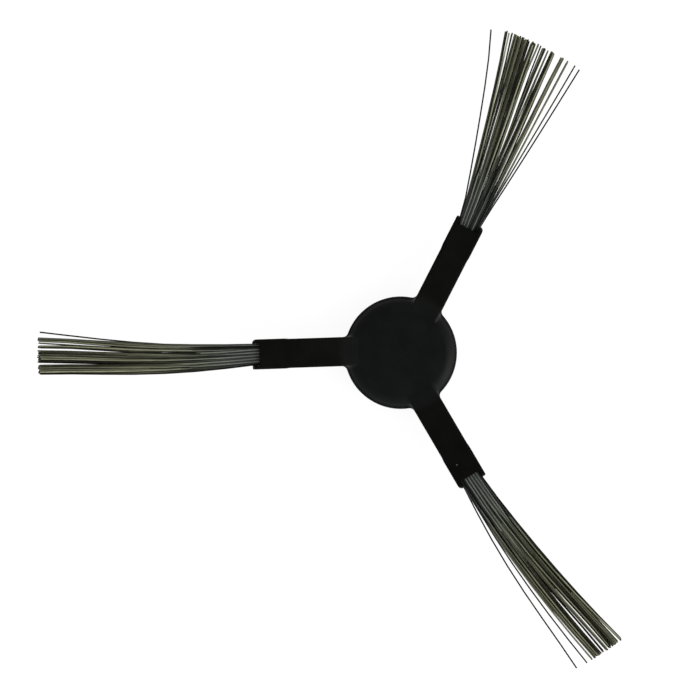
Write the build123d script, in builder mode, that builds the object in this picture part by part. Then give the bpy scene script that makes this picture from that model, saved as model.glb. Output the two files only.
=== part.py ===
from build123d import *
import math
import os

# Hub: a low dome over a skirt, hollow underneath
hub_diameter = 24.85
hub_height = 8.0
crown_rise = 0.5  # how far the middle of the top stands above its edge
shoulder_radius = 3.0
rim_round = 0.4
skirt_wall = 1.5
top_wall = 2.0

# Drive socket: a blind bore in a boss under the hub, with two key slots
bore_diameter = 6.0
bore_floor = 2.4  # solid left between the bore and the top of the dome
boss_wall = 2.0
key_width = 1.4
key_depth = 0.8
rib_thickness = 1.2
rib_recess = 1.5  # how far the ribs stay above the rim of the skirt

# Arms: sleeves that rise outwards from the edge of the dome
arm_headings = {"left": 181.9, "upper": 63.0, "lower": -59.7}
arm_reach = 32.3  # from the hub axis to the ends of the lips
arm_side_offset = 0.66  # the arms point a little clockwise of the hub axis
arm_slope = 7.0
arm_lift = 0.6  # how far the tops of the arms stand above the edge of the dome
arm_upper_round = 0.5
arm_lower_round = 0.3
arm_root_fillet = 1.2

# Mouth of an arm: a pocket for the tuft between two lips
lip_wall = 0.92
sleeve_wall = 0.93  # above and below the pocket
pocket_depth = 9.0
mouth_recess = 1.3  # how far the upper and lower walls stop short of the lips
sleeve_length = 8.0  # the end of an arm that is a little wider, around the tuft
sleeve_taper = 1.0
sleeve_swell = 0.1  # how much the arm widens there on each side
leading_lip_round = 0.9
trailing_lip_round = 0.3

# Bristles: straight in the pocket, then fanned out and bent to one side
filament_diameter = 0.28
filament_sides = 6
filament_layers = 4
filament_gap = 0.04  # between neighbours in one layer, at the mouth
layer_gap = 0.14
layer_spread = 2.5  # how much wider apart the layers stand at the tips
outer_spans = 3  # straight spans of a filament outside the arm
length_scatter = 0.7
height_scatter = 0.7
length_step = 0.618  # deals the lengths out unevenly from one filament to the next
height_step = 0.414  # deals the heights out unevenly in the same way

# Fused root of a tuft, in the bottom of its pocket
root_length = 3.0
root_margin = 0.05  # around the filaments
root_clearance = 0.05

# Each tuft: length past the lips, sideways bends of its first and last filament, tips of an even fan,
# and its clumps from the clockwise side, as (first edge, last edge, filaments, parting, bow), in distances
# from the middle of the arm; the higher its parting, the later a clump leaves the even fan, and its bow
# is how far it swings out to the side on the way
tufts = {
    "left": {
        "length": 47.4,
        "bends": (-3.2, -4.1),
        "fan": (-5.45, 2.75),
        "clumps": [
            (-6.61, -6.33, 1, 2.0, -0.15),
            (-5.38, -4.30, 8, 2.0, -0.35),
            (-4.20, -3.92, 1, 2.0, -0.15),
            (-3.60, -2.85, 6, 2.0, -0.45),
            (-2.60, 0.33, 22, 2.0, -0.25),
            (0.60, 2.93, 18, 2.0, -0.3),
        ],
    },
    "upper": {
        "length": 42.2,
        "bends": (0.4, 1.6),
        "fan": (-3.1, 12.4),
        "clumps": [
            (-6.20, -5.92, 1, 1.0, 0.0),
            (-4.95, -4.67, 1, 1.0, 0.0),
            (-3.20, -2.65, 3, 1.5, 0.0),
            (-2.02, -1.07, 6, 2.0, 0.1),
            (0.25, 1.40, 7, 2.0, 0.1),
            (1.80, 2.15, 2, 2.0, 0.1),
            (2.50, 3.45, 5, 1.5, 0.2),
            (3.72, 4.00, 1, 2.0, 0.0),
            (4.23, 4.69, 3, 1.0, 0.5),
            (4.92, 6.20, 7, 2.0, 0.2),
            (6.35, 10.40, 15, 3.0, 0.0),
            (10.58, 10.92, 1, 3.0, -0.1),
            (11.17, 11.55, 1, 1.5, 0.0),
            (11.75, 12.43, 2, 1.5, -0.1),
            (15.11, 15.39, 1, 1.0, -0.3),
        ],
    },
    "lower": {
        "length": 47.4,
        "bends": (4.0, 3.8),
        "fan": (2.7, 11.0),
        "clumps": [
            (-1.10, -0.82, 1, 1.0, 0.25),
            (1.45, 1.73, 1, 1.2, 0.0),
            (2.72, 3.12, 2, 2.0, 0.0),
            (3.34, 5.54, 17, 3.0, 0.0),
            (5.69, 6.14, 3, 3.0, 0.3),
            (6.37, 7.15, 6, 3.0, 0.2),
            (7.25, 8.10, 7, 3.0, 0.45),
            (8.10, 9.95, 14, 3.0, 0.15),
            (10.30, 10.85, 5, 2.0, 0.0),
        ],
    },
}

# Hub sizes that follow
hub_radius = hub_diameter / 2
edge_height = hub_height - crown_rise
boss_radius = bore_diameter / 2 + boss_wall
cavity_radius = hub_radius - skirt_wall
cavity_height = hub_height - top_wall

# Tuft, pocket and arm sizes that follow, from the filaments outwards
filaments = max(sum(clump[2] for clump in tuft["clumps"]) for tuft in tufts.values())
columns = math.ceil(filaments / filament_layers)
column_pitch = filament_diameter + filament_gap
column_stagger = column_pitch / 2  # sideways shift between one layer and the next
layer_pitch = filament_diameter + layer_gap
bundle_width = (columns - 1) * column_pitch + column_stagger + filament_diameter
bundle_height = (filament_layers - 1) * layer_pitch + filament_diameter
root_width = bundle_width + 2 * root_margin
root_height = bundle_height + 2 * root_margin
pocket_width = root_width + 2 * root_clearance
pocket_height = root_height + 2 * root_clearance
arm_width = pocket_width + 2 * lip_wall
arm_thickness = pocket_height + 2 * sleeve_wall

# Distances along an arm's slope, from the hub axis
slope = math.radians(arm_slope)
arm_start = cavity_radius / 2
arm_end = arm_reach / math.cos(slope)
root_start = arm_end - pocket_depth
sleeve_start = arm_end - sleeve_length
arm_top_on_axis = edge_height + arm_lift - hub_radius * math.tan(slope)


def arm_plane(heading):
    """Plane in the middle of an arm's thickness: x outwards along its middle, y to its side, z up."""
    turn = math.radians(heading)
    sideways = Vector(-math.sin(turn), math.cos(turn), 0)
    outwards = Vector(math.cos(turn) * math.cos(slope), math.sin(turn) * math.cos(slope), math.sin(slope))
    upwards = outwards.cross(sideways)
    top_point = Vector(0, 0, arm_top_on_axis) - sideways * arm_side_offset
    return Plane(origin=top_point - upwards * (arm_thickness / 2), x_dir=outwards, z_dir=upwards)


def build_arm(heading):
    """One arm as a solid bar, a little wider around its pocket, with rounded edges and lip corners."""
    plane = arm_plane(heading)
    root_half = arm_width / 2 - sleeve_swell
    sleeve_half = arm_width / 2
    long_side = [
        (arm_start, root_half),
        (sleeve_start, root_half),
        (sleeve_start + sleeve_taper, sleeve_half),
        (arm_end, sleeve_half),
    ]
    with BuildPart() as arm:
        with BuildSketch(plane.offset(-arm_thickness / 2)):
            with BuildLine():
                Polyline(*long_side, *[(x, -y) for x, y in reversed(long_side)], close=True)
            make_face()
            fillet(vertices().group_by(Axis.X)[-1].sort_by(Axis.Y)[0], leading_lip_round)
            fillet(vertices().group_by(Axis.X)[-1].sort_by(Axis.Y)[-1], trailing_lip_round)
        extrude(amount=arm_thickness)
        upright = Axis(plane.origin, plane.z_dir)
        sideways = Axis(plane.origin, plane.y_dir)
        for side, radius in ((-1, arm_upper_round), (0, arm_lower_round)):
            broad_face = faces().filter_by(upright).sort_by(upright)[side]
            fillet(broad_face.edges().filter_by(GeomType.LINE).filter_by(sideways, reverse=True), radius)
    return arm.part


def uneven(index, step):
    """A share from -0.5 to 0.5 that jumps about from one filament to the next."""
    return index * step % 1 - 0.5


def between(ends, share):
    """A value part of the way from one end to the other."""
    return ends[0] + (ends[1] - ends[0]) * share


def tip_places(clumps):
    """Sideways place, parting and bow of all filament tips of a tuft, in order from the clockwise side."""
    places = []
    for first_edge, last_edge, count, parting, bow in clumps:
        first = first_edge + filament_diameter / 2
        room = last_edge - first_edge - filament_diameter
        places += [(first + room * (step + 0.5) / count, parting, bow) for step in range(count)]
    return places


def filament_points(tuft, index, tip, parting, bow):
    """Bends of one filament in its arm's plane: from the root, straight to the lips, then to the tip."""
    layer = index % filament_layers
    column = index // filament_layers
    mouth = (column - (columns - 1) / 2) * column_pitch + (layer % 2 - 0.5) * column_stagger
    height = (layer - (filament_layers - 1) / 2) * layer_pitch
    rise = height * (layer_spread - 1) + height_scatter * uneven(index, height_step)
    bend = between(tuft["bends"], (index + 0.5) / filaments)
    even_tip = between(tuft["fan"], (index + 0.5) / filaments)
    length = tuft["length"] + length_scatter * uneven(index, length_step)
    reach = math.sqrt(length**2 - (tip - mouth) ** 2)
    points = [Vector(root_start + root_length / 2, mouth, height)]
    for span in range(outer_spans + 1):
        share = span / outer_spans
        fanned = mouth + (even_tip - mouth - bend) * share + bend * share**2
        sideways = fanned + (tip - even_tip) * share**parting + bow * math.sin(math.pi * share**3)
        points.append(Vector(arm_end + reach * share, sideways, height + rise * share))
    return points


def build_tuft(name):
    """One tuft, made along X and then set in its arm: a fused root block with all its filaments in it."""
    tuft = tufts[name]
    with BuildPart() as bundle:
        with BuildSketch():
            with Locations((root_start + root_length / 2, 0)):
                Rectangle(root_length, root_width)
        extrude(amount=root_height / 2, both=True)
        spans = []
        for index, (tip, parting, bow) in enumerate(tip_places(tuft["clumps"])):
            points = filament_points(tuft, index, tip, parting, bow)
            for start, end in zip(points, points[1:]):
                with BuildSketch(Plane.YZ.offset(start.X)):
                    with Locations((start.Y, start.Z)):
                        RegularPolygon(filament_diameter / 2, filament_sides)
                step = end - start
                spans.append(extrude(amount=step.length, dir=step.normalized(), mode=Mode.PRIVATE))
        add(spans, clean=False)
    return arm_plane(arm_headings[name]) * bundle.part


arms = [build_arm(heading) for heading in arm_headings.values()]

with BuildPart() as hub:
    # Dome, skirt and arms, solid at first
    with BuildSketch(Plane.XZ):
        with BuildLine():
            TangentArc((0, hub_height), (hub_radius, edge_height), tangent=(1, 0))
            Polyline((hub_radius, edge_height), (hub_radius, 0), (0, 0), (0, hub_height))
        make_face()
        fillet(vertices().group_by(Axis.X)[-1].sort_by(Axis.Y)[-1], shoulder_radius)
        fillet(vertices().group_by(Axis.X)[-1].sort_by(Axis.Y)[0], rim_round)
    revolve(axis=Axis.Z)
    add(arms)
    fillet(edges(Select.NEW), arm_root_fillet)

    # Hollow underside with the boss and its ribs
    with BuildSketch():
        Circle(cavity_radius)
        Circle(boss_radius, mode=Mode.SUBTRACT)
    extrude(amount=cavity_height, mode=Mode.SUBTRACT)
    for heading in arm_headings.values():
        with BuildSketch(Plane.XY.offset(rib_recess).rotated((0, 0, heading))):
            with Locations(((boss_radius + cavity_radius) / 2, 0)):
                Rectangle(cavity_radius - boss_radius + skirt_wall, rib_thickness)
        extrude(amount=cavity_height - rib_recess)

    # Drive bore with its key slots
    with BuildSketch():
        Circle(bore_diameter / 2)
        Rectangle(bore_diameter + 2 * key_depth, key_width)
    extrude(amount=hub_height - bore_floor, mode=Mode.SUBTRACT)

    # Tuft pockets, and the walls cut back between the lips
    for heading in arm_headings.values():
        plane = arm_plane(heading)
        with BuildSketch(plane):
            with Locations((arm_end - pocket_depth / 2, 0)):
                Rectangle(pocket_depth, pocket_width)
        extrude(amount=pocket_height / 2, both=True, mode=Mode.SUBTRACT)
        with BuildSketch(plane):
            with Locations((arm_end - mouth_recess / 2, 0)):
                Rectangle(mouth_recess, pocket_width)
        extrude(amount=arm_thickness, both=True, mode=Mode.SUBTRACT)

os.makedirs("parts", exist_ok=True)
hub.part.label = "hub"
export_step(hub.part, "parts/hub.step")
for tuft_name in tufts:
    tuft_part = build_tuft(tuft_name)
    tuft_part.label = "tuft_" + tuft_name
    export_step(tuft_part, "parts/tuft_" + tuft_name + ".step")
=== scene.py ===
"""Side brush of a robot vacuum: a black moulded hub, three tufts of nylon bristles and a white studio."""

import math

import bpy
from bpy.props import FloatProperty, FloatVectorProperty, IntProperty, PointerProperty
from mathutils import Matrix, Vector


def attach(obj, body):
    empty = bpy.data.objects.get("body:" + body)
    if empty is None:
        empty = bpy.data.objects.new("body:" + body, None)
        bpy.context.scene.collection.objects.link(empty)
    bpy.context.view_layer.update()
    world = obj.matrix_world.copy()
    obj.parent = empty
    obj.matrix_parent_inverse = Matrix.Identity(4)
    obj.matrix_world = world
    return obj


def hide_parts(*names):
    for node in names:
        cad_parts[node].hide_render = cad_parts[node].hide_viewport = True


bl_info = {
    "name": "Side Brush",
    "version": (1, 0, 0),
    "blender": (4, 5, 0),
    "location": "View3D > Sidebar > Side Brush",
    "description": "Finishes the hub, draws the bristle tufts and sets up the studio",
    "category": "Object",
}

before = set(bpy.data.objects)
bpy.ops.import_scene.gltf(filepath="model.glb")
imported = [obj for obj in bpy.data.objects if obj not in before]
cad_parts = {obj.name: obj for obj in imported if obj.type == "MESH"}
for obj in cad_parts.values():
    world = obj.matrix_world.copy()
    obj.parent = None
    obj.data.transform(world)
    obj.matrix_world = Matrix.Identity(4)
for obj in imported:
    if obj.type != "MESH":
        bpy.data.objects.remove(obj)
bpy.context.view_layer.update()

MM = 0.001

# Hub and arms, as the solids are built
HUB_RADIUS = 12.425 * MM
HUB_EDGE_HEIGHT = 7.5 * MM
SKIRT_HEIGHTS = (6.0 * MM, 6.9 * MM)  # between which the skirt goes over into the shoulder
ARM_RADII = (0.9 * HUB_RADIUS, 1.15 * HUB_RADIUS)  # between which the dome goes over into the arms
ARM_HEADINGS = {"left": math.radians(181.9), "upper": math.radians(63.0), "lower": math.radians(-59.7)}
ARM_SLOPE = math.radians(7.0)
ARM_REACH = 32.3 * MM
ARM_SIDE_OFFSET = 0.66 * MM
ARM_LIFT = 0.6 * MM
ARM_THICKNESS = 3.6 * MM
POCKET_DEPTH = 9.0 * MM
ARM_END = ARM_REACH / math.cos(ARM_SLOPE)
ROOT_START = ARM_END - POCKET_DEPTH

# Pale speck on the top of the lower arm
SPECK_PLACE = (12.34 * MM, -24.69 * MM, 9.96 * MM)
SPECK_RADIUS = 0.2 * MM
SPECK_CORE = 0.5 * SPECK_RADIUS  # within which it has its full colour

# Fused root of a tuft
ROOT_LENGTH = 3.0 * MM
ROOT_WIDTH = 4.7 * MM
ROOT_HEIGHT = 1.64 * MM

# How the bristles of a tuft are packed in its mouth and scattered at its tips
LAYERS = 6
COLUMN_PITCH = 0.33 * MM
LAYER_PITCH = 0.25 * MM
LAYER_SPREAD = 2.4
LENGTH_SCATTER = 0.6 * MM
TIP_TRIM = 0.1 * MM  # keeps the thicker drawn bristles within the solids
HEIGHT_SCATTER = 0.6 * MM

# Steps that deal lengths, heights, places in the mouth and shades out unevenly
LENGTH_STEP = 0.618
HEIGHT_STEP = 0.414
MINGLE_STEP = 0.8192
SHADE_STEP = 0.7008
SEED_STEP = 10  # from the seed of one tuft's strays to that of the next

# Faces with fewer corners are the sides of bristles, shaded as round, and those with more their cut ends
SIDE_CORNERS = 4.5

# Noise and tint of the finishes
GRAIN_DETAIL = 2.0
MOTTLE_DETAIL = 4.0
MOTTLE_BOUNDS = (0.3, 0.7)  # noise at which the mottling starts and is full
STREAK_DETAIL = 2.0
OWN_STREAKS = 173.0  # sets the streaks of one bristle apart from those of the next
TINT_AND_SHADE_END = 0.6  # share of the way from mouth to tip at which a bristle has its tip's tint, free of the painted shade of the mouth

# Each tuft in millimetres: lengths past the lips and sideways bends of its first and last bristle, tips of
# an even fan, and its clumps from the clockwise side, as (first edge, last edge, bristles, parting, bow).
# Edges are distances from the middle of the arm. The higher its parting, the later a clump leaves the even
# fan, and its bow is how far it swings out to the side on the way.
TUFTS = {
    "left": {
        "lengths": (47.4, 47.4),
        "bends": (-3.2, -4.1),
        "fan": (-5.45, 2.75),
        "clumps": [
            (-6.61, -6.33, 1, 2.0, -0.15),
            (-5.38, -4.30, 12, 2.0, -0.35),
            (-4.20, -3.92, 2, 2.0, -0.15),
            (-3.60, -2.85, 9, 2.0, -0.45),
            (-2.60, 0.33, 33, 2.0, -0.25),
            (0.60, 2.93, 27, 2.0, -0.3),
        ],
    },
    "upper": {
        "lengths": (41.4, 42.45),
        "bends": (0.4, 1.6),
        "fan": (-3.1, 12.4),
        "clumps": [
            (-6.20, -5.92, 1, 1.0, 0.0),
            (-4.95, -4.67, 1, 1.0, 0.0),
            (-3.20, -2.65, 4, 1.5, 0.0),
            (-2.02, -1.07, 9, 2.0, 0.1),
            (0.25, 1.40, 11, 2.0, 0.1),
            (1.80, 2.15, 3, 2.0, 0.1),
            (2.50, 3.45, 8, 1.5, 0.2),
            (3.72, 4.00, 1, 2.0, 0.17),
            (4.23, 4.69, 5, 1.0, 0.5),
            (4.92, 6.20, 10, 2.0, 0.2),
            (6.35, 10.40, 22, 3.0, 0.0),
            (10.58, 10.92, 2, 3.0, -0.1),
            (11.17, 11.55, 2, 1.5, 0.0),
            (11.75, 12.43, 4, 1.5, -0.1),
            (15.11, 15.39, 1, 1.0, -0.3),
        ],
    },
    "lower": {
        "lengths": (47.4, 47.4),
        "bends": (4.0, 3.8),
        "fan": (2.7, 11.0),
        "clumps": [
            (-1.10, -0.82, 1, 1.0, 0.25),
            (1.45, 1.73, 1, 1.2, 0.0),
            (2.72, 3.12, 3, 2.0, 0.0),
            (3.34, 5.54, 25, 3.0, 0.0),
            (5.69, 6.14, 4, 3.0, 0.3),
            (6.37, 7.15, 9, 3.0, 0.2),
            (7.25, 8.10, 11, 3.0, 0.45),
            (8.10, 9.95, 22, 3.0, 0.15),
            (10.30, 10.85, 8, 2.0, 0.0),
        ],
    },
}

# Heights in the surroundings, as sines, between which they change from side to slope and from slope to top
SLOPE_HEIGHTS = (0.1, 0.6)
TOP_HEIGHTS = (0.8, 0.98)


def colour(name, description, default):
    """A colour property."""
    return FloatVectorProperty(
        name=name, description=description, default=default, size=3, min=0.0, max=1.0, subtype="COLOR"
    )


def length(name, description, default):
    """A length property in metres."""
    return FloatProperty(
        name=name, description=description, default=default, min=0.0, precision=6, unit="LENGTH"
    )


def share(name, description, default):
    """A property from nought to one."""
    return FloatProperty(
        name=name, description=description, default=default, min=0.0, max=1.0, subtype="FACTOR"
    )


def power(name, description, default):
    """A lamp's power in watts."""
    return FloatProperty(name=name, description=description, default=default, min=0.0, unit="POWER")


class HubFinish(bpy.types.PropertyGroup):
    """Look of the moulded hub."""

    dome_colour: colour("Dome", "Black of the dome, a little cool", (0.0022, 0.0028, 0.0030))
    # The arms' black is a little warmer, and darker than the dome's as painted shade, though hub and arms
    # are one moulding
    arm_tint_and_painted_shade: colour("Arms", "Black of the arms, a little warmer", (0.0011, 0.0012, 0.0006))
    # Painted shade that darkens the arms towards their mouths
    mouth_painted_shade: colour("Mouths", "Black of the arms at their mouths", (0.0003, 0.0003, 0.0001))
    speck_colour: colour("Speck", "Grey of the speck on the lower arm", (0.12, 0.12, 0.11))
    shine: share("Shine", "Level of the shine on the moulding", 0.14)
    shine_tint: colour("Shine tint", "Olive tint of the shine", (0.95, 1.0, 0.89))
    roughness: share("Roughness", "Mean roughness of the dome", 0.48)
    arm_dullness: share("Arm dullness", "How much rougher the arms are", 0.36)
    skirt_dullness: share("Skirt dullness", "How much rougher the skirt is", 0.45)
    grain_size: length("Grain size", "Size of the fine moulded grain", 0.16 * MM)
    grain_depth: length("Grain depth", "Depth of the fine moulded grain", 0.006 * MM)
    mottle_size: length("Mottle size", "Size of the slow changes of shade", 4.5 * MM)
    mottle_shade: share("Mottle shade", "How much the shade changes", 0.2)
    mottle_roughness: share("Mottle roughness", "How much the roughness changes", 0.16)


class TuftFinish(bpy.types.PropertyGroup):
    """Shape and look of the bristles."""

    bristle_diameter: length("Bristle", "Diameter of one bristle", 0.33 * MM)
    bristle_sides: IntProperty(name="Sides", description="Sides of a bristle", default=6, min=3)
    spans: IntProperty(name="Spans", description="Spans along a bristle", default=8, min=2)
    mingle: FloatProperty(
        name="Mingle", description="Places that bristles change among in the mouth", default=12.0
    )
    stray: length("Stray", "How far bristles bow away from their neighbours", 0.3 * MM)
    seed: IntProperty(name="Seed", description="Deals out the strays", default=7)
    # The spread from darkest to lightest is partly the nylon's own tones, and partly painted shade in the
    # gaps between bristles and painted highlights on them
    dark_grey_and_painted_shade: share("Darkest", "Grey of the darkest bristles", 0.006)
    light_grey_and_painted_highlight: share("Lightest", "Grey of the lightest bristles", 0.38)
    shade_power: FloatProperty(
        name="Shade power", description="The higher, the fewer light bristles", default=2.0
    )
    # Painted shade: a bristle that stands alone is made darker, to look as dark as the shaded bristles in
    # the body of the tuft
    lone_painted_shade: share("Lone shade", "Shade of a bristle that stands alone, beside the others", 0.35)
    # The mouth tint is cooler, and also painted shade that makes the bristles about half as light near the
    # mouth
    mouth_tint_and_painted_shade: colour("Mouth tint", "Cool tint near the mouth", (0.53, 0.58, 0.53))
    tip_tint: colour("Tip tint", "Olive tint towards the tips", (0.97, 1.0, 0.65))
    shine: share("Shine", "Level of the shine on the nylon", 0.08)
    roughness: share("Roughness", "Mean roughness of the nylon", 0.45)
    grain_size: length("Grain size", "Size of the grain of the nylon", 0.11 * MM)
    grain_depth: length("Grain depth", "Depth of the grain of the nylon", 0.004 * MM)
    mottle_size: length("Mottle size", "Size of the slow changes of roughness", 1.1 * MM)
    mottle_roughness: share("Mottle roughness", "How much the roughness changes", 0.16)
    # Streaks are painted highlights and shade that make stretches of each bristle lighter and darker
    streaks: FloatProperty(name="Streaks", description="Changes of shade along a bristle", default=9.0)
    streak_painted_highlight_and_shade: share("Streak shade", "How much the shade changes along a bristle", 0.5)


class StudioSettings(bpy.types.PropertyGroup):
    """Camera, lamps and floor."""

    frame_width: length("Frame width", "Width that the camera sees at the arms' height", 154.0 * MM)
    frame_middle: FloatVectorProperty(
        name="Frame middle",
        description="Point that the camera looks straight down at",
        default=(-11.18 * MM, 0.59 * MM, 11.0 * MM),
        subtype="TRANSLATION",
    )
    camera_distance: length("Camera distance", "Camera's height above that point", 2.0)
    key_power: power("Key", "Large lamp low on the right", 1.75)
    key_size: length("Key size", "Width of the lamp", 0.5)
    key_place: FloatVectorProperty(
        name="Key place",
        description="Middle of the lamp",
        default=(0.5, -0.25, 0.28),
        subtype="TRANSLATION",
    )
    sky_top: share("Sky top", "Level of the surroundings straight above", 0.38)
    sky_slope: share("Sky slope", "Level of the surroundings halfway up", 0.85)
    sky_side: share("Sky side", "Level of the surroundings near the horizon", 1.0)
    sky_lean: share("Sky lean", "How much brighter the lower right of the surroundings is", 0.3)
    floor_half: length("Floor", "Half the width of the floor", 6.0)
    floor_colour: colour("Floor colour", "Colour of the floor to the lamps", (0.80, 0.80, 0.80))
    floor_glow: share("Floor white", "How white the floor is before it is lit", 0.90)
    floor_shadow: share("Floor shadow", "Share of the floor that takes the shadow", 0.2)


class Wiring:
    """Adds nodes to a tree and joins them, so that a formula reads as a few calls."""

    def __init__(self, tree):
        self.tree = tree

    def node(self, kind, sources=None, **settings):
        """A new node with its settings, and its inputs fed by name from sockets or constants."""
        made = self.tree.nodes.new(kind)
        for name, value in settings.items():
            setattr(made, name, value)
        for name, source in (sources or {}).items():
            self.feed(made.inputs[name], source)
        return made

    def feed(self, socket, source):
        """Joins a socket to its source, or sets its constant."""
        if isinstance(source, bpy.types.NodeSocket):
            self.tree.links.new(source, socket)
        else:
            socket.default_value = source

    def calculate(self, operation, *values):
        """One calculation on numbers."""
        made = self.node("ShaderNodeMath", operation=operation)
        for socket, value in zip(made.inputs, values):
            self.feed(socket, value)
        return made.outputs[0]

    def plus(self, first, *others):
        """Sum of numbers."""
        for other in others:
            first = self.calculate("ADD", first, other)
        return first

    def times(self, first, *others):
        """Product of numbers."""
        for other in others:
            first = self.calculate("MULTIPLY", first, other)
        return first

    def minus(self, first, second):
        """Difference of two numbers."""
        return self.calculate("SUBTRACT", first, second)

    def vector(self, x, y, z):
        """A vector from its three numbers."""
        return self.node("ShaderNodeCombineXYZ", {"X": x, "Y": y, "Z": z}).outputs[0]

    def parts(self, vector):
        """The three numbers of a vector."""
        return self.node("ShaderNodeSeparateXYZ", {"Vector": vector}).outputs

    def remap(self, value, low, high, new_low, new_high):
        """A number eased from one range to another."""
        made = self.node("ShaderNodeMapRange", {"Value": value}, interpolation_type="SMOOTHSTEP")
        bounds = {"From Min": low, "From Max": high, "To Min": new_low, "To Max": new_high}
        for name, bound in bounds.items():
            self.feed(made.inputs[name], bound)
        return made.outputs["Result"]

    def distance(self, place, point):
        """Distance of a place from a point."""
        made = self.node("ShaderNodeVectorMath", {0: place, 1: point}, operation="DISTANCE")
        return made.outputs["Value"]

    def mix(self, factor, first, second, blend_type="MIX"):
        """Two colours mixed."""
        made = self.node("ShaderNodeMix", data_type="RGBA", blend_type=blend_type)
        colours = [socket for socket in made.inputs if socket.type == "RGBA"]
        self.feed(made.inputs["Factor"], factor)
        for socket, source in zip(colours, (first, second)):
            self.feed(socket, source)
        return [socket for socket in made.outputs if socket.type == "RGBA"][0]

    def random(self, low, high, seed):
        """A number for each point, dealt out by the seed."""
        made = self.node("FunctionNodeRandomValue", data_type="FLOAT")
        for socket in made.inputs:
            source = {"Min_001": low, "Max_001": high, "Seed": seed}.get(socket.identifier)
            if source is not None:
                self.feed(socket, source)
        return [socket for socket in made.outputs if socket.identifier == "Value_001"][0]


def opaque(rgb):
    """A colour with full alpha."""
    return (*rgb, 1.0)


def grain_group():
    """Shared effect: fine grain and slow mottling, as masks from nought to one."""
    name = "Fine grain"
    if name in bpy.data.node_groups:
        return bpy.data.node_groups[name]
    tree = bpy.data.node_groups.new(name, "ShaderNodeTree")
    tree.interface.new_socket("Vector", in_out="INPUT", socket_type="NodeSocketVector")
    tree.interface.new_socket("Grains per metre", in_out="INPUT", socket_type="NodeSocketFloat")
    tree.interface.new_socket("Mottles per metre", in_out="INPUT", socket_type="NodeSocketFloat")
    tree.interface.new_socket("Grain", in_out="OUTPUT", socket_type="NodeSocketFloat")
    tree.interface.new_socket("Mottle", in_out="OUTPUT", socket_type="NodeSocketFloat")
    wiring = Wiring(tree)
    given = wiring.node("NodeGroupInput").outputs
    result = wiring.node("NodeGroupOutput").inputs
    for output, scale, detail in (
        ("Grain", "Grains per metre", GRAIN_DETAIL),
        ("Mottle", "Mottles per metre", MOTTLE_DETAIL),
    ):
        noise = wiring.node(
            "ShaderNodeTexNoise", {"Vector": given["Vector"], "Scale": given[scale], "Detail": detail}
        )
        wiring.feed(result[output], noise.outputs["Fac"])
    return tree


def new_material(name):
    """An empty node material, with its wiring and its surface input."""
    material = bpy.data.materials.new(name)
    material.use_nodes = True
    material.node_tree.nodes.clear()
    wiring = Wiring(material.node_tree)
    surface = wiring.node("ShaderNodeOutputMaterial").inputs["Surface"]
    return material, wiring, surface


def grained(wiring, finish):
    """Bump and roughness of a piece from the shared grain, with its slow mottling."""
    place = wiring.node("ShaderNodeTexCoord").outputs["Object"]
    grain = wiring.node(
        "ShaderNodeGroup",
        {
            "Vector": place,
            "Grains per metre": 1 / finish.grain_size,
            "Mottles per metre": 1 / finish.mottle_size,
        },
        node_tree=grain_group(),
    )
    bump = wiring.node("ShaderNodeBump", {"Height": grain.outputs["Grain"], "Strength": 1.0})
    wiring.feed(bump.inputs["Distance"], finish.grain_depth)
    mottle = wiring.remap(grain.outputs["Mottle"], *MOTTLE_BOUNDS, 0.0, 1.0)
    change = wiring.times(wiring.minus(mottle, 0.5), finish.mottle_roughness)
    roughness = wiring.plus(change, finish.roughness)
    return place, mottle, {"Normal": bump.outputs[0], "Roughness": roughness}


def hub_material(finish):
    """Black moulded plastic: grain, slow mottling, a duller skirt, duller arms with painted shade that
    darkens them, most towards their mouths, and a speck.
    """
    material, wiring, surface = new_material("moulded_black_plastic")
    place, mottle, surfaced = grained(wiring, finish)
    coordinates = wiring.parts(place)
    flat_place = wiring.vector(coordinates["X"], coordinates["Y"], 0.0)
    radius = wiring.distance(flat_place, (0.0, 0.0, 0.0))
    on_arm = wiring.remap(radius, *ARM_RADII, 0.0, 1.0)
    # Painted shade: the arms grow darker from the hub's edge towards their mouths
    outwards = wiring.remap(radius, HUB_RADIUS, ARM_REACH, 0.0, 1.0)
    # Warmer arms with painted shade that makes them darker than the dome
    black = wiring.mix(on_arm, opaque(finish.dome_colour), opaque(finish.arm_tint_and_painted_shade))
    black = wiring.mix(outwards, black, opaque(finish.mouth_painted_shade))
    speck = wiring.remap(wiring.distance(place, SPECK_PLACE), SPECK_CORE, SPECK_RADIUS, 1.0, 0.0)
    black = wiring.mix(speck, black, opaque(finish.speck_colour))
    darker = opaque([1.0 - finish.mottle_shade] * 3)
    lighter = opaque([1.0 + finish.mottle_shade] * 3)
    mottled = wiring.mix(mottle, darker, lighter)
    skirt_dullness = wiring.remap(coordinates["Z"], *SKIRT_HEIGHTS, finish.skirt_dullness, 0.0)
    arm_dullness = wiring.times(on_arm, finish.arm_dullness)
    surfaced["Roughness"] = wiring.plus(surfaced["Roughness"], skirt_dullness, arm_dullness)
    surfaced["Specular IOR Level"] = finish.shine
    surfaced["Specular Tint"] = opaque(finish.shine_tint)
    shader = wiring.node("ShaderNodeBsdfPrincipled", surfaced)
    wiring.feed(shader.inputs["Base Color"], wiring.mix(1.0, black, mottled, "MULTIPLY"))
    wiring.feed(surface, shader.outputs[0])
    return material


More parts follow.
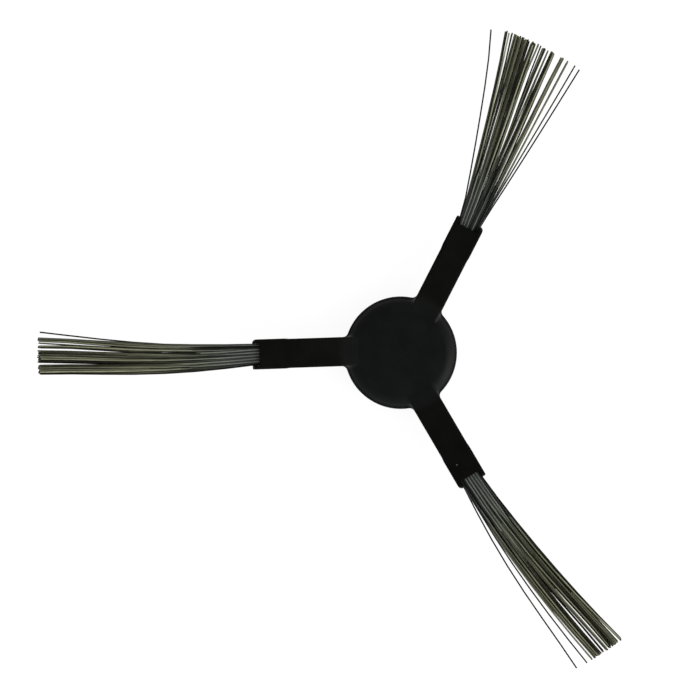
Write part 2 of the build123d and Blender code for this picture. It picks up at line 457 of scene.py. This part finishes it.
def bristle_material(finish):
    """Satin nylon: each bristle has its own shade, partly its own tone and partly painted highlight and
    shade, with painted streaks along it and painted shade near the mouth, cooler at the mouth and more olive
    at the tip.
    """
    material, wiring, surface = new_material("satin_nylon")
    surfaced = grained(wiring, finish)[-1]
    surfaced["Specular IOR Level"] = finish.shine
    shade = wiring.node("ShaderNodeAttribute", attribute_name="shade").outputs["Fac"]
    along = wiring.node("ShaderNodeAttribute", attribute_name="along").outputs["Fac"]
    # Painted highlights and shade along each bristle, from noise
    streak = wiring.node("ShaderNodeTexNoise", {"Scale": 1.0, "Detail": STREAK_DETAIL})
    along_streaks = wiring.times(along, finish.streaks)
    own_streaks = wiring.times(shade, OWN_STREAKS)
    wiring.feed(streak.inputs["Vector"], wiring.vector(along_streaks, own_streaks, 0.0))
    change = wiring.times(wiring.minus(streak.outputs["Fac"], 0.5), finish.streak_painted_highlight_and_shade)
    uneven_shade = wiring.plus(shade, change)
    uneven_shade = wiring.calculate("MAXIMUM", uneven_shade, 0.0)
    # Grey of each bristle: partly its own tone, partly painted highlight and painted shade
    grey = wiring.times(wiring.calculate("POWER", uneven_shade, finish.shade_power), finish.light_grey_and_painted_highlight)
    grey = wiring.plus(grey, finish.dark_grey_and_painted_shade)
    # Tint from mouth to tip, with painted shade that darkens the bristles near the mouth
    tint = wiring.mix(
        wiring.remap(along, 0.0, TINT_AND_SHADE_END, 0.0, 1.0), opaque(finish.mouth_tint_and_painted_shade), opaque(finish.tip_tint)
    )
    shader = wiring.node("ShaderNodeBsdfPrincipled", surfaced)
    plain_grey = wiring.vector(grey, grey, grey)
    wiring.feed(shader.inputs["Base Color"], wiring.mix(1.0, plain_grey, tint, "MULTIPLY"))
    wiring.feed(surface, shader.outputs[0])
    return material


def floor_material(settings):
    """White floor: plain to the lamps, near white to the eye with a faint shadow, and clear from below."""
    material, wiring, surface = new_material("white_floor")
    path = wiring.node("ShaderNodeLightPath").outputs
    seen = wiring.calculate("MAXIMUM", path["Is Camera Ray"], path["Is Glossy Ray"])
    seen = wiring.calculate("MAXIMUM", seen, path["Is Transmission Ray"])
    lit = wiring.node("ShaderNodeBsdfDiffuse", {"Color": opaque(settings.floor_colour)})
    faint = wiring.node("ShaderNodeBsdfDiffuse", {"Color": opaque([settings.floor_shadow] * 3)})
    glow = wiring.node("ShaderNodeEmission", {"Strength": settings.floor_glow})
    white = wiring.node("ShaderNodeAddShader")
    wiring.feed(white.inputs[0], faint.outputs[0])
    wiring.feed(white.inputs[1], glow.outputs[0])
    above = wiring.node("ShaderNodeMixShader", {"Fac": seen})
    wiring.feed(above.inputs[1], lit.outputs[0])
    wiring.feed(above.inputs[2], white.outputs[0])
    clear = wiring.node("ShaderNodeBsdfTransparent")
    from_below = wiring.node("ShaderNodeNewGeometry").outputs["Backfacing"]
    either = wiring.node("ShaderNodeMixShader", {"Fac": from_below})
    wiring.feed(either.inputs[1], above.outputs[0])
    wiring.feed(either.inputs[2], clear.outputs[0])
    wiring.feed(surface, either.outputs[0])
    return material


# Inputs of the nodes that draw a tuft
TREE_INPUTS = {
    "Tip points": "NodeSocketGeometry",
    "Bristle diameter": "NodeSocketFloat",
    "Bristle sides": "NodeSocketInt",
    "Spans": "NodeSocketInt",
    "Layers": "NodeSocketInt",
    "Columns": "NodeSocketInt",
    "Column pitch": "NodeSocketFloat",
    "Layer pitch": "NodeSocketFloat",
    "Mouth distance": "NodeSocketFloat",
    "Root distance": "NodeSocketFloat",
    "Root size": "NodeSocketVector",
    "Stray": "NodeSocketFloat",
    "Seed": "NodeSocketInt",
    "Arm place": "NodeSocketVector",
    "Arm turn": "NodeSocketVector",
    "Material": "NodeSocketMaterial",
}


def tuft_tree():
    """Nodes that draw a bristle from the arm's mouth to each tip point, with the fused root behind them."""
    tree = bpy.data.node_groups.new("Bristle tuft", "GeometryNodeTree")
    for name, kind in TREE_INPUTS.items():
        tree.interface.new_socket(name, in_out="INPUT", socket_type=kind)
    tree.interface.new_socket("Tuft", in_out="OUTPUT", socket_type="NodeSocketGeometry")
    wiring = Wiring(tree)
    given = wiring.node("NodeGroupInput").outputs

    # Place of each bristle in the mouth: columns of layers, with every second layer shifted by half a column
    own = {}
    for name in ("slot", "even_tip", "bend", "parting", "bow", "own_shade"):
        named = wiring.node("GeometryNodeInputNamedAttribute", {"Name": name}, data_type="FLOAT")
        own[name] = named.outputs["Attribute"]
    layer = wiring.calculate("MODULO", own["slot"], given["Layers"])
    column = wiring.calculate("FLOOR", wiring.calculate("DIVIDE", own["slot"], given["Layers"]))
    middle_column = wiring.times(wiring.minus(given["Columns"], 1.0), 0.5)
    middle_layer = wiring.times(wiring.minus(given["Layers"], 1.0), 0.5)
    stagger = wiring.times(wiring.minus(wiring.calculate("MODULO", layer, 2.0), 0.5), 0.5)
    column_place = wiring.plus(wiring.minus(column, middle_column), stagger)
    mouth = wiring.vector(
        given["Mouth distance"],
        wiring.times(column_place, given["Column pitch"]),
        wiring.times(wiring.minus(layer, middle_layer), given["Layer pitch"]),
    )

    # What each bristle keeps along its whole length
    kept = wiring.node("GeometryNodeCaptureAttribute", {"Geometry": given["Tip points"]}, domain="POINT")
    carried = {
        "Tip": ("VECTOR", wiring.node("GeometryNodeInputPosition").outputs[0]),
        "Mouth": ("VECTOR", mouth),
        "Even tip": ("FLOAT", own["even_tip"]),
        "Bend": ("FLOAT", own["bend"]),
        "Parting": ("FLOAT", own["parting"]),
        "Bow": ("FLOAT", own["bow"]),
        "Shade": ("FLOAT", own["own_shade"]),
        "Side stray": ("FLOAT", wiring.random(-1.0, 1.0, given["Seed"])),
        "Height stray": ("FLOAT", wiring.random(-1.0, 1.0, wiring.plus(given["Seed"], 1.0))),
    }
    for name, (kind, source) in carried.items():
        kept.capture_items.new(kind, name)
        wiring.feed(kept.inputs[name], source)

    # One straight line for each bristle
    line = wiring.node("GeometryNodeCurvePrimitiveLine", {"End": (1.0, 0.0, 0.0)})
    stepped = wiring.node("GeometryNodeResampleCurve", {"Curve": line.outputs[0]})
    wiring.feed(stepped.inputs["Count"], wiring.plus(given["Spans"], 1.0))
    lines = wiring.node("GeometryNodeInstanceOnPoints", {"Points": kept.outputs["Geometry"]})
    wiring.feed(lines.inputs["Instance"], stepped.outputs[0])
    loose = wiring.node("GeometryNodeRealizeInstances", {"Geometry": lines.outputs[0]})

    # Its way: straight in the pocket, then the even fan with its bend, the parting and bow of its clump, and
    # a stray that fades towards the tip
    tip = wiring.parts(kept.outputs["Tip"])
    start = wiring.parts(kept.outputs["Mouth"])
    step = wiring.node("GeometryNodeSplineParameter").outputs["Factor"]
    lean = wiring.minus(tip["Y"], start["Y"])
    reach = wiring.calculate(
        "SQRT", wiring.minus(wiring.times(tip["X"], tip["X"]), wiring.times(lean, lean))
    )
    whole = wiring.plus(wiring.minus(start["X"], given["Root distance"]), reach)
    outwards = wiring.plus(given["Root distance"], wiring.times(step, whole))
    outside = wiring.calculate("DIVIDE", wiring.minus(outwards, start["X"]), reach)
    outside = wiring.calculate("MAXIMUM", outside, 0.0)
    swell = wiring.calculate("SINE", wiring.times(outside, math.pi))
    swell = wiring.times(swell, wiring.minus(1.0, outside), given["Stray"])
    even_lean = wiring.minus(wiring.minus(kept.outputs["Even tip"], start["Y"]), kept.outputs["Bend"])
    apart = wiring.calculate("POWER", outside, kept.outputs["Parting"])
    bowed = wiring.calculate("SINE", wiring.times(outside, outside, outside, math.pi))
    sideways = wiring.plus(
        start["Y"],
        wiring.times(even_lean, outside),
        wiring.times(kept.outputs["Bend"], outside, outside),
        wiring.times(wiring.minus(tip["Y"], kept.outputs["Even tip"]), apart),
        wiring.times(kept.outputs["Bow"], bowed),
        wiring.times(kept.outputs["Side stray"], swell),
    )
    upwards = wiring.plus(
        start["Z"],
        wiring.times(wiring.minus(tip["Z"], start["Z"]), outside),
        wiring.times(kept.outputs["Height stray"], swell),
    )
    bent = wiring.node("GeometryNodeSetPosition", {"Geometry": loose.outputs[0]})
    wiring.feed(bent.inputs["Position"], wiring.vector(outwards, sideways, upwards))

    # Shade and place along the bristle, for the material
    marked = bent
    for name, source in (("shade", kept.outputs["Shade"]), ("along", outside)):
        store = wiring.node(
            "GeometryNodeStoreNamedAttribute",
            {"Geometry": marked.outputs[0], "Name": name, "Value": source},
            data_type="FLOAT",
            domain="POINT",
        )
        marked = store

    # Round section with flat cut ends
    section = wiring.node("GeometryNodeCurvePrimitiveCircle", {"Resolution": given["Bristle sides"]})
    wiring.feed(section.inputs["Radius"], wiring.times(given["Bristle diameter"], 0.5))
    bristles = wiring.node("GeometryNodeCurveToMesh", {"Curve": marked.outputs[0], "Fill Caps": True})
    wiring.feed(bristles.inputs["Profile Curve"], section.outputs[0])

    # Fused root, a block in the bottom of the pocket
    root = wiring.node("GeometryNodeMeshCube", {"Size": given["Root size"]})
    seated = wiring.node("GeometryNodeTransform", {"Geometry": root.outputs[0]})
    wiring.feed(seated.inputs["Translation"], wiring.vector(given["Root distance"], 0.0, 0.0))

    together = wiring.node("GeometryNodeJoinGeometry")
    wiring.feed(together.inputs[0], bristles.outputs[0])
    wiring.feed(together.inputs[0], seated.outputs[0])
    corners = wiring.node("GeometryNodeInputMeshFaceNeighbors").outputs["Vertex Count"]
    side = wiring.calculate("LESS_THAN", corners, SIDE_CORNERS)
    smooth = wiring.node("GeometryNodeSetShadeSmooth", {"Geometry": together.outputs[0]})
    wiring.feed(smooth.inputs["Shade Smooth"], side)
    placed = wiring.node("GeometryNodeTransform", {"Geometry": smooth.outputs[0]})
    wiring.feed(placed.inputs["Translation"], given["Arm place"])
    wiring.feed(placed.inputs["Rotation"], given["Arm turn"])
    real = wiring.node("GeometryNodeRealizeInstances", {"Geometry": placed.outputs[0]})
    dressed = wiring.node("GeometryNodeSetMaterial", {"Geometry": real.outputs[0]})
    wiring.feed(dressed.inputs["Material"], given["Material"])
    result = wiring.node("NodeGroupOutput")
    wiring.feed(result.inputs["Tuft"], dressed.outputs[0])
    return tree


def uneven(index, step):
    """A share from -0.5 to 0.5 that jumps about from one bristle to the next."""
    return index * step % 1 - 0.5


def between(ends, share_of_way):
    """A value part of the way from one end to the other."""
    return ends[0] + (ends[1] - ends[0]) * share_of_way


def tip_points(tuft, diameter):
    """Length, sideways place and height of each tip, with the parting, bow and size of its clump."""
    places = []
    clumps = []
    for first_edge, last_edge, count, parting, bow in tuft["clumps"]:
        first = first_edge * MM + diameter / 2
        room = (last_edge - first_edge) * MM - diameter
        places += [first + room * (step + 0.5) / count for step in range(count)]
        clumps += [(parting, bow * MM, count)] * count
    points = []
    for index, sideways in enumerate(places):
        height = (index % LAYERS - (LAYERS - 1) / 2) * LAYER_PITCH * LAYER_SPREAD
        even_length = between(tuft["lengths"], (index + 0.5) / len(places)) * MM
        reach = even_length + LENGTH_SCATTER * uneven(index, LENGTH_STEP) - TIP_TRIM
        points.append((reach, sideways, height + HEIGHT_SCATTER * uneven(index, HEIGHT_STEP)))
    return points, clumps


def tip_mesh(tuft, finish):
    """Tip points of a tuft, each with its bristle's slot in the mouth, bends and shade."""
    points, clumps = tip_points(tuft, finish.bristle_diameter)
    count = len(points)
    mesh = bpy.data.meshes.new("tips")
    mesh.from_pydata(points, [], [])
    mixed = [index + finish.mingle * uneven(index, MINGLE_STEP) for index in range(count)]
    mingled = sorted(range(count), key=mixed.__getitem__)
    across = [(index + 0.5) / count for index in range(count)]
    own = {
        "slot": [mingled.index(index) for index in range(count)],
        "even_tip": [between(tuft["fan"], part) * MM for part in across],
        "bend": [between(tuft["bends"], part) * MM for part in across],
        "parting": [parting for parting, _, _ in clumps],
        "bow": [bow for _, bow, _ in clumps],
        # Shade of each bristle, with painted shade on those that stand alone
        "own_shade": [
            (uneven(index, SHADE_STEP) + 0.5) * (finish.lone_painted_shade if size == 1 else 1.0)
            for index, (_, _, size) in enumerate(clumps)
        ],
    }
    for name, values in own.items():
        mesh.attributes.new(name, "FLOAT", "POINT").data.foreach_set("value", values)
    return mesh


def arm_place(heading):
    """Start beside the hub axis, in the middle of the arm's thickness, and turn of an arm's own frame."""
    turn = Vector((0.0, -ARM_SLOPE, heading))
    sideways = Vector((-math.sin(heading), math.cos(heading), 0.0))
    outwards = Vector((math.cos(heading), math.sin(heading), 0.0))
    upwards = Vector((0.0, 0.0, math.cos(ARM_SLOPE))) - outwards * math.sin(ARM_SLOPE)
    top_on_axis = HUB_EDGE_HEIGHT + ARM_LIFT - HUB_RADIUS * math.tan(ARM_SLOPE)
    place = Vector((0.0, 0.0, top_on_axis)) - sideways * ARM_SIDE_OFFSET - upwards * (ARM_THICKNESS / 2)
    return place, turn


def build_tuft(name, tree, material, finish):
    """One tuft as a plain mesh that stands for its solid."""
    tuft = TUFTS[name]
    mesh = tip_mesh(tuft, finish)
    piece = bpy.data.objects.new("bristles_" + name, mesh)
    bpy.context.scene.collection.objects.link(piece)
    place, turn = arm_place(ARM_HEADINGS[name])
    values = {
        "Bristle diameter": finish.bristle_diameter,
        "Bristle sides": finish.bristle_sides,
        "Spans": finish.spans,
        "Layers": LAYERS,
        "Columns": math.ceil(len(mesh.vertices) / LAYERS),
        "Column pitch": COLUMN_PITCH,
        "Layer pitch": LAYER_PITCH,
        "Mouth distance": ARM_END,
        "Root distance": ROOT_START + ROOT_LENGTH / 2,
        "Root size": (ROOT_LENGTH, ROOT_WIDTH, ROOT_HEIGHT),
        "Stray": finish.stray,
        "Seed": finish.seed + SEED_STEP * list(TUFTS).index(name),
        "Arm place": tuple(place),
        "Arm turn": tuple(turn),
        "Material": material,
    }
    modifier = piece.modifiers.new("Bristle tuft", "NODES")
    modifier.node_group = tree
    for item in tree.interface.items_tree:
        if item.name in values:
            modifier[item.identifier] = values[item.name]
    depsgraph = bpy.context.evaluated_depsgraph_get()
    drawn = bpy.data.meshes.new_from_object(
        piece.evaluated_get(depsgraph), preserve_all_data_layers=True, depsgraph=depsgraph
    )
    if not drawn.polygons:
        raise RuntimeError("the tuft on the " + name + " arm has no bristles")
    piece.modifiers.remove(modifier)
    piece.data = drawn
    bpy.data.meshes.remove(mesh)
    drawn.name = piece.name
    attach(piece, "root")
    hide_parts("tuft_" + name)


class BRUSH_OT_hub(bpy.types.Operator):
    """Gives the hub its moulded plastic"""

    bl_idname = "brush.hub"
    bl_label = "Finish hub"

    def execute(self, context):
        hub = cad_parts["hub"]
        hub.data.materials.clear()
        hub.data.materials.append(hub_material(context.scene.brush_hub))
        return {"FINISHED"}


class BRUSH_OT_tufts(bpy.types.Operator):
    """Draws the three tufts of bristles"""

    bl_idname = "brush.tufts"
    bl_label = "Draw tufts"

    def execute(self, context):
        finish = context.scene.brush_tufts
        material = bristle_material(finish)
        tree = tuft_tree()
        for name in TUFTS:
            build_tuft(name, tree, material, finish)
        return {"FINISHED"}


def add_lamp(name, place, size, watts, target):
    """A square soft lamp that faces a point."""
    lamp = bpy.data.lights.new(name, "AREA")
    lamp.size = size
    lamp.energy = watts
    lamp_object = bpy.data.objects.new(name, lamp)
    lamp_object.location = place
    lamp_object.rotation_euler = (Vector(target) - Vector(place)).to_track_quat("-Z", "Y").to_euler()
    bpy.context.scene.collection.objects.link(lamp_object)


def build_world(settings):
    """Surroundings that are brightest near the horizon and dim straight above."""
    world = bpy.data.worlds.new("studio")
    world.use_nodes = True
    world.node_tree.nodes.clear()
    wiring = Wiring(world.node_tree)
    direction = wiring.node("ShaderNodeTexCoord").outputs["Generated"]
    along = wiring.parts(direction)
    height = along["Z"]
    level = wiring.remap(height, *SLOPE_HEIGHTS, settings.sky_side, settings.sky_slope)
    dimming = wiring.remap(height, *TOP_HEIGHTS, 0.0, settings.sky_slope - settings.sky_top)
    level = wiring.minus(level, dimming)
    lean = wiring.times(wiring.minus(along["X"], along["Y"]), settings.sky_lean)
    strength = wiring.times(level, wiring.plus(lean, 1.0))
    background = wiring.node("ShaderNodeBackground", {"Strength": strength})
    output = wiring.node("ShaderNodeOutputWorld")
    wiring.feed(output.inputs["Surface"], background.outputs[0])
    bpy.context.scene.world = world


class BRUSH_OT_studio(bpy.types.Operator):
    """Makes the floor, lamps, surroundings and camera"""

    bl_idname = "brush.studio"
    bl_label = "Set up studio"

    def execute(self, context):
        settings = context.scene.brush_studio
        half = settings.floor_half
        mesh = bpy.data.meshes.new("floor")
        corners = [(-half, -half, 0.0), (half, -half, 0.0), (half, half, 0.0), (-half, half, 0.0)]
        mesh.from_pydata(corners, [], [(0, 1, 2, 3)])
        mesh.materials.append(floor_material(settings))
        floor = bpy.data.objects.new("floor", mesh)
        context.scene.collection.objects.link(floor)

        build_world(settings)
        middle = (0.0, 0.0, HUB_EDGE_HEIGHT)
        add_lamp("key", settings.key_place, settings.key_size, settings.key_power, middle)

        camera = bpy.data.cameras.new("camera")
        camera.lens = camera.sensor_width * settings.camera_distance / settings.frame_width
        eye = bpy.data.objects.new("camera", camera)
        eye.location = Vector(settings.frame_middle) + Vector((0.0, 0.0, settings.camera_distance))
        context.scene.collection.objects.link(eye)
        context.scene.camera = eye
        context.scene.view_settings.view_transform = "Standard"
        return {"FINISHED"}


class BRUSH_PT_sidebar(bpy.types.Panel):
    """Sidebar with the brush's settings and steps"""

    bl_label = "Side Brush"
    bl_idname = "BRUSH_PT_sidebar"
    bl_space_type = "VIEW_3D"
    bl_region_type = "UI"
    bl_category = "Side Brush"

    def draw(self, context):
        for group, step in (
            (context.scene.brush_hub, "brush.hub"),
            (context.scene.brush_tufts, "brush.tufts"),
            (context.scene.brush_studio, "brush.studio"),
        ):
            box = self.layout.box()
            for name in group.__annotations__:
                box.prop(group, name)
            box.operator(step)


SETTINGS = {"brush_hub": HubFinish, "brush_tufts": TuftFinish, "brush_studio": StudioSettings}
CLASSES = (*SETTINGS.values(), BRUSH_OT_hub, BRUSH_OT_tufts, BRUSH_OT_studio, BRUSH_PT_sidebar)


def register():
    """Adds the classes and the scene's settings."""
    for made in CLASSES:
        bpy.utils.register_class(made)
    for name, group in SETTINGS.items():
        setattr(bpy.types.Scene, name, PointerProperty(type=group))


def unregister():
    """Takes the settings and the classes away again."""
    for name in SETTINGS:
        delattr(bpy.types.Scene, name)
    for made in reversed(CLASSES):
        bpy.utils.unregister_class(made)


def main():
    """Builds the brush and its studio."""
    register()
    bpy.ops.brush.hub()
    bpy.ops.brush.tufts()
    bpy.ops.brush.studio()


if __name__ == "__main__":
    main()
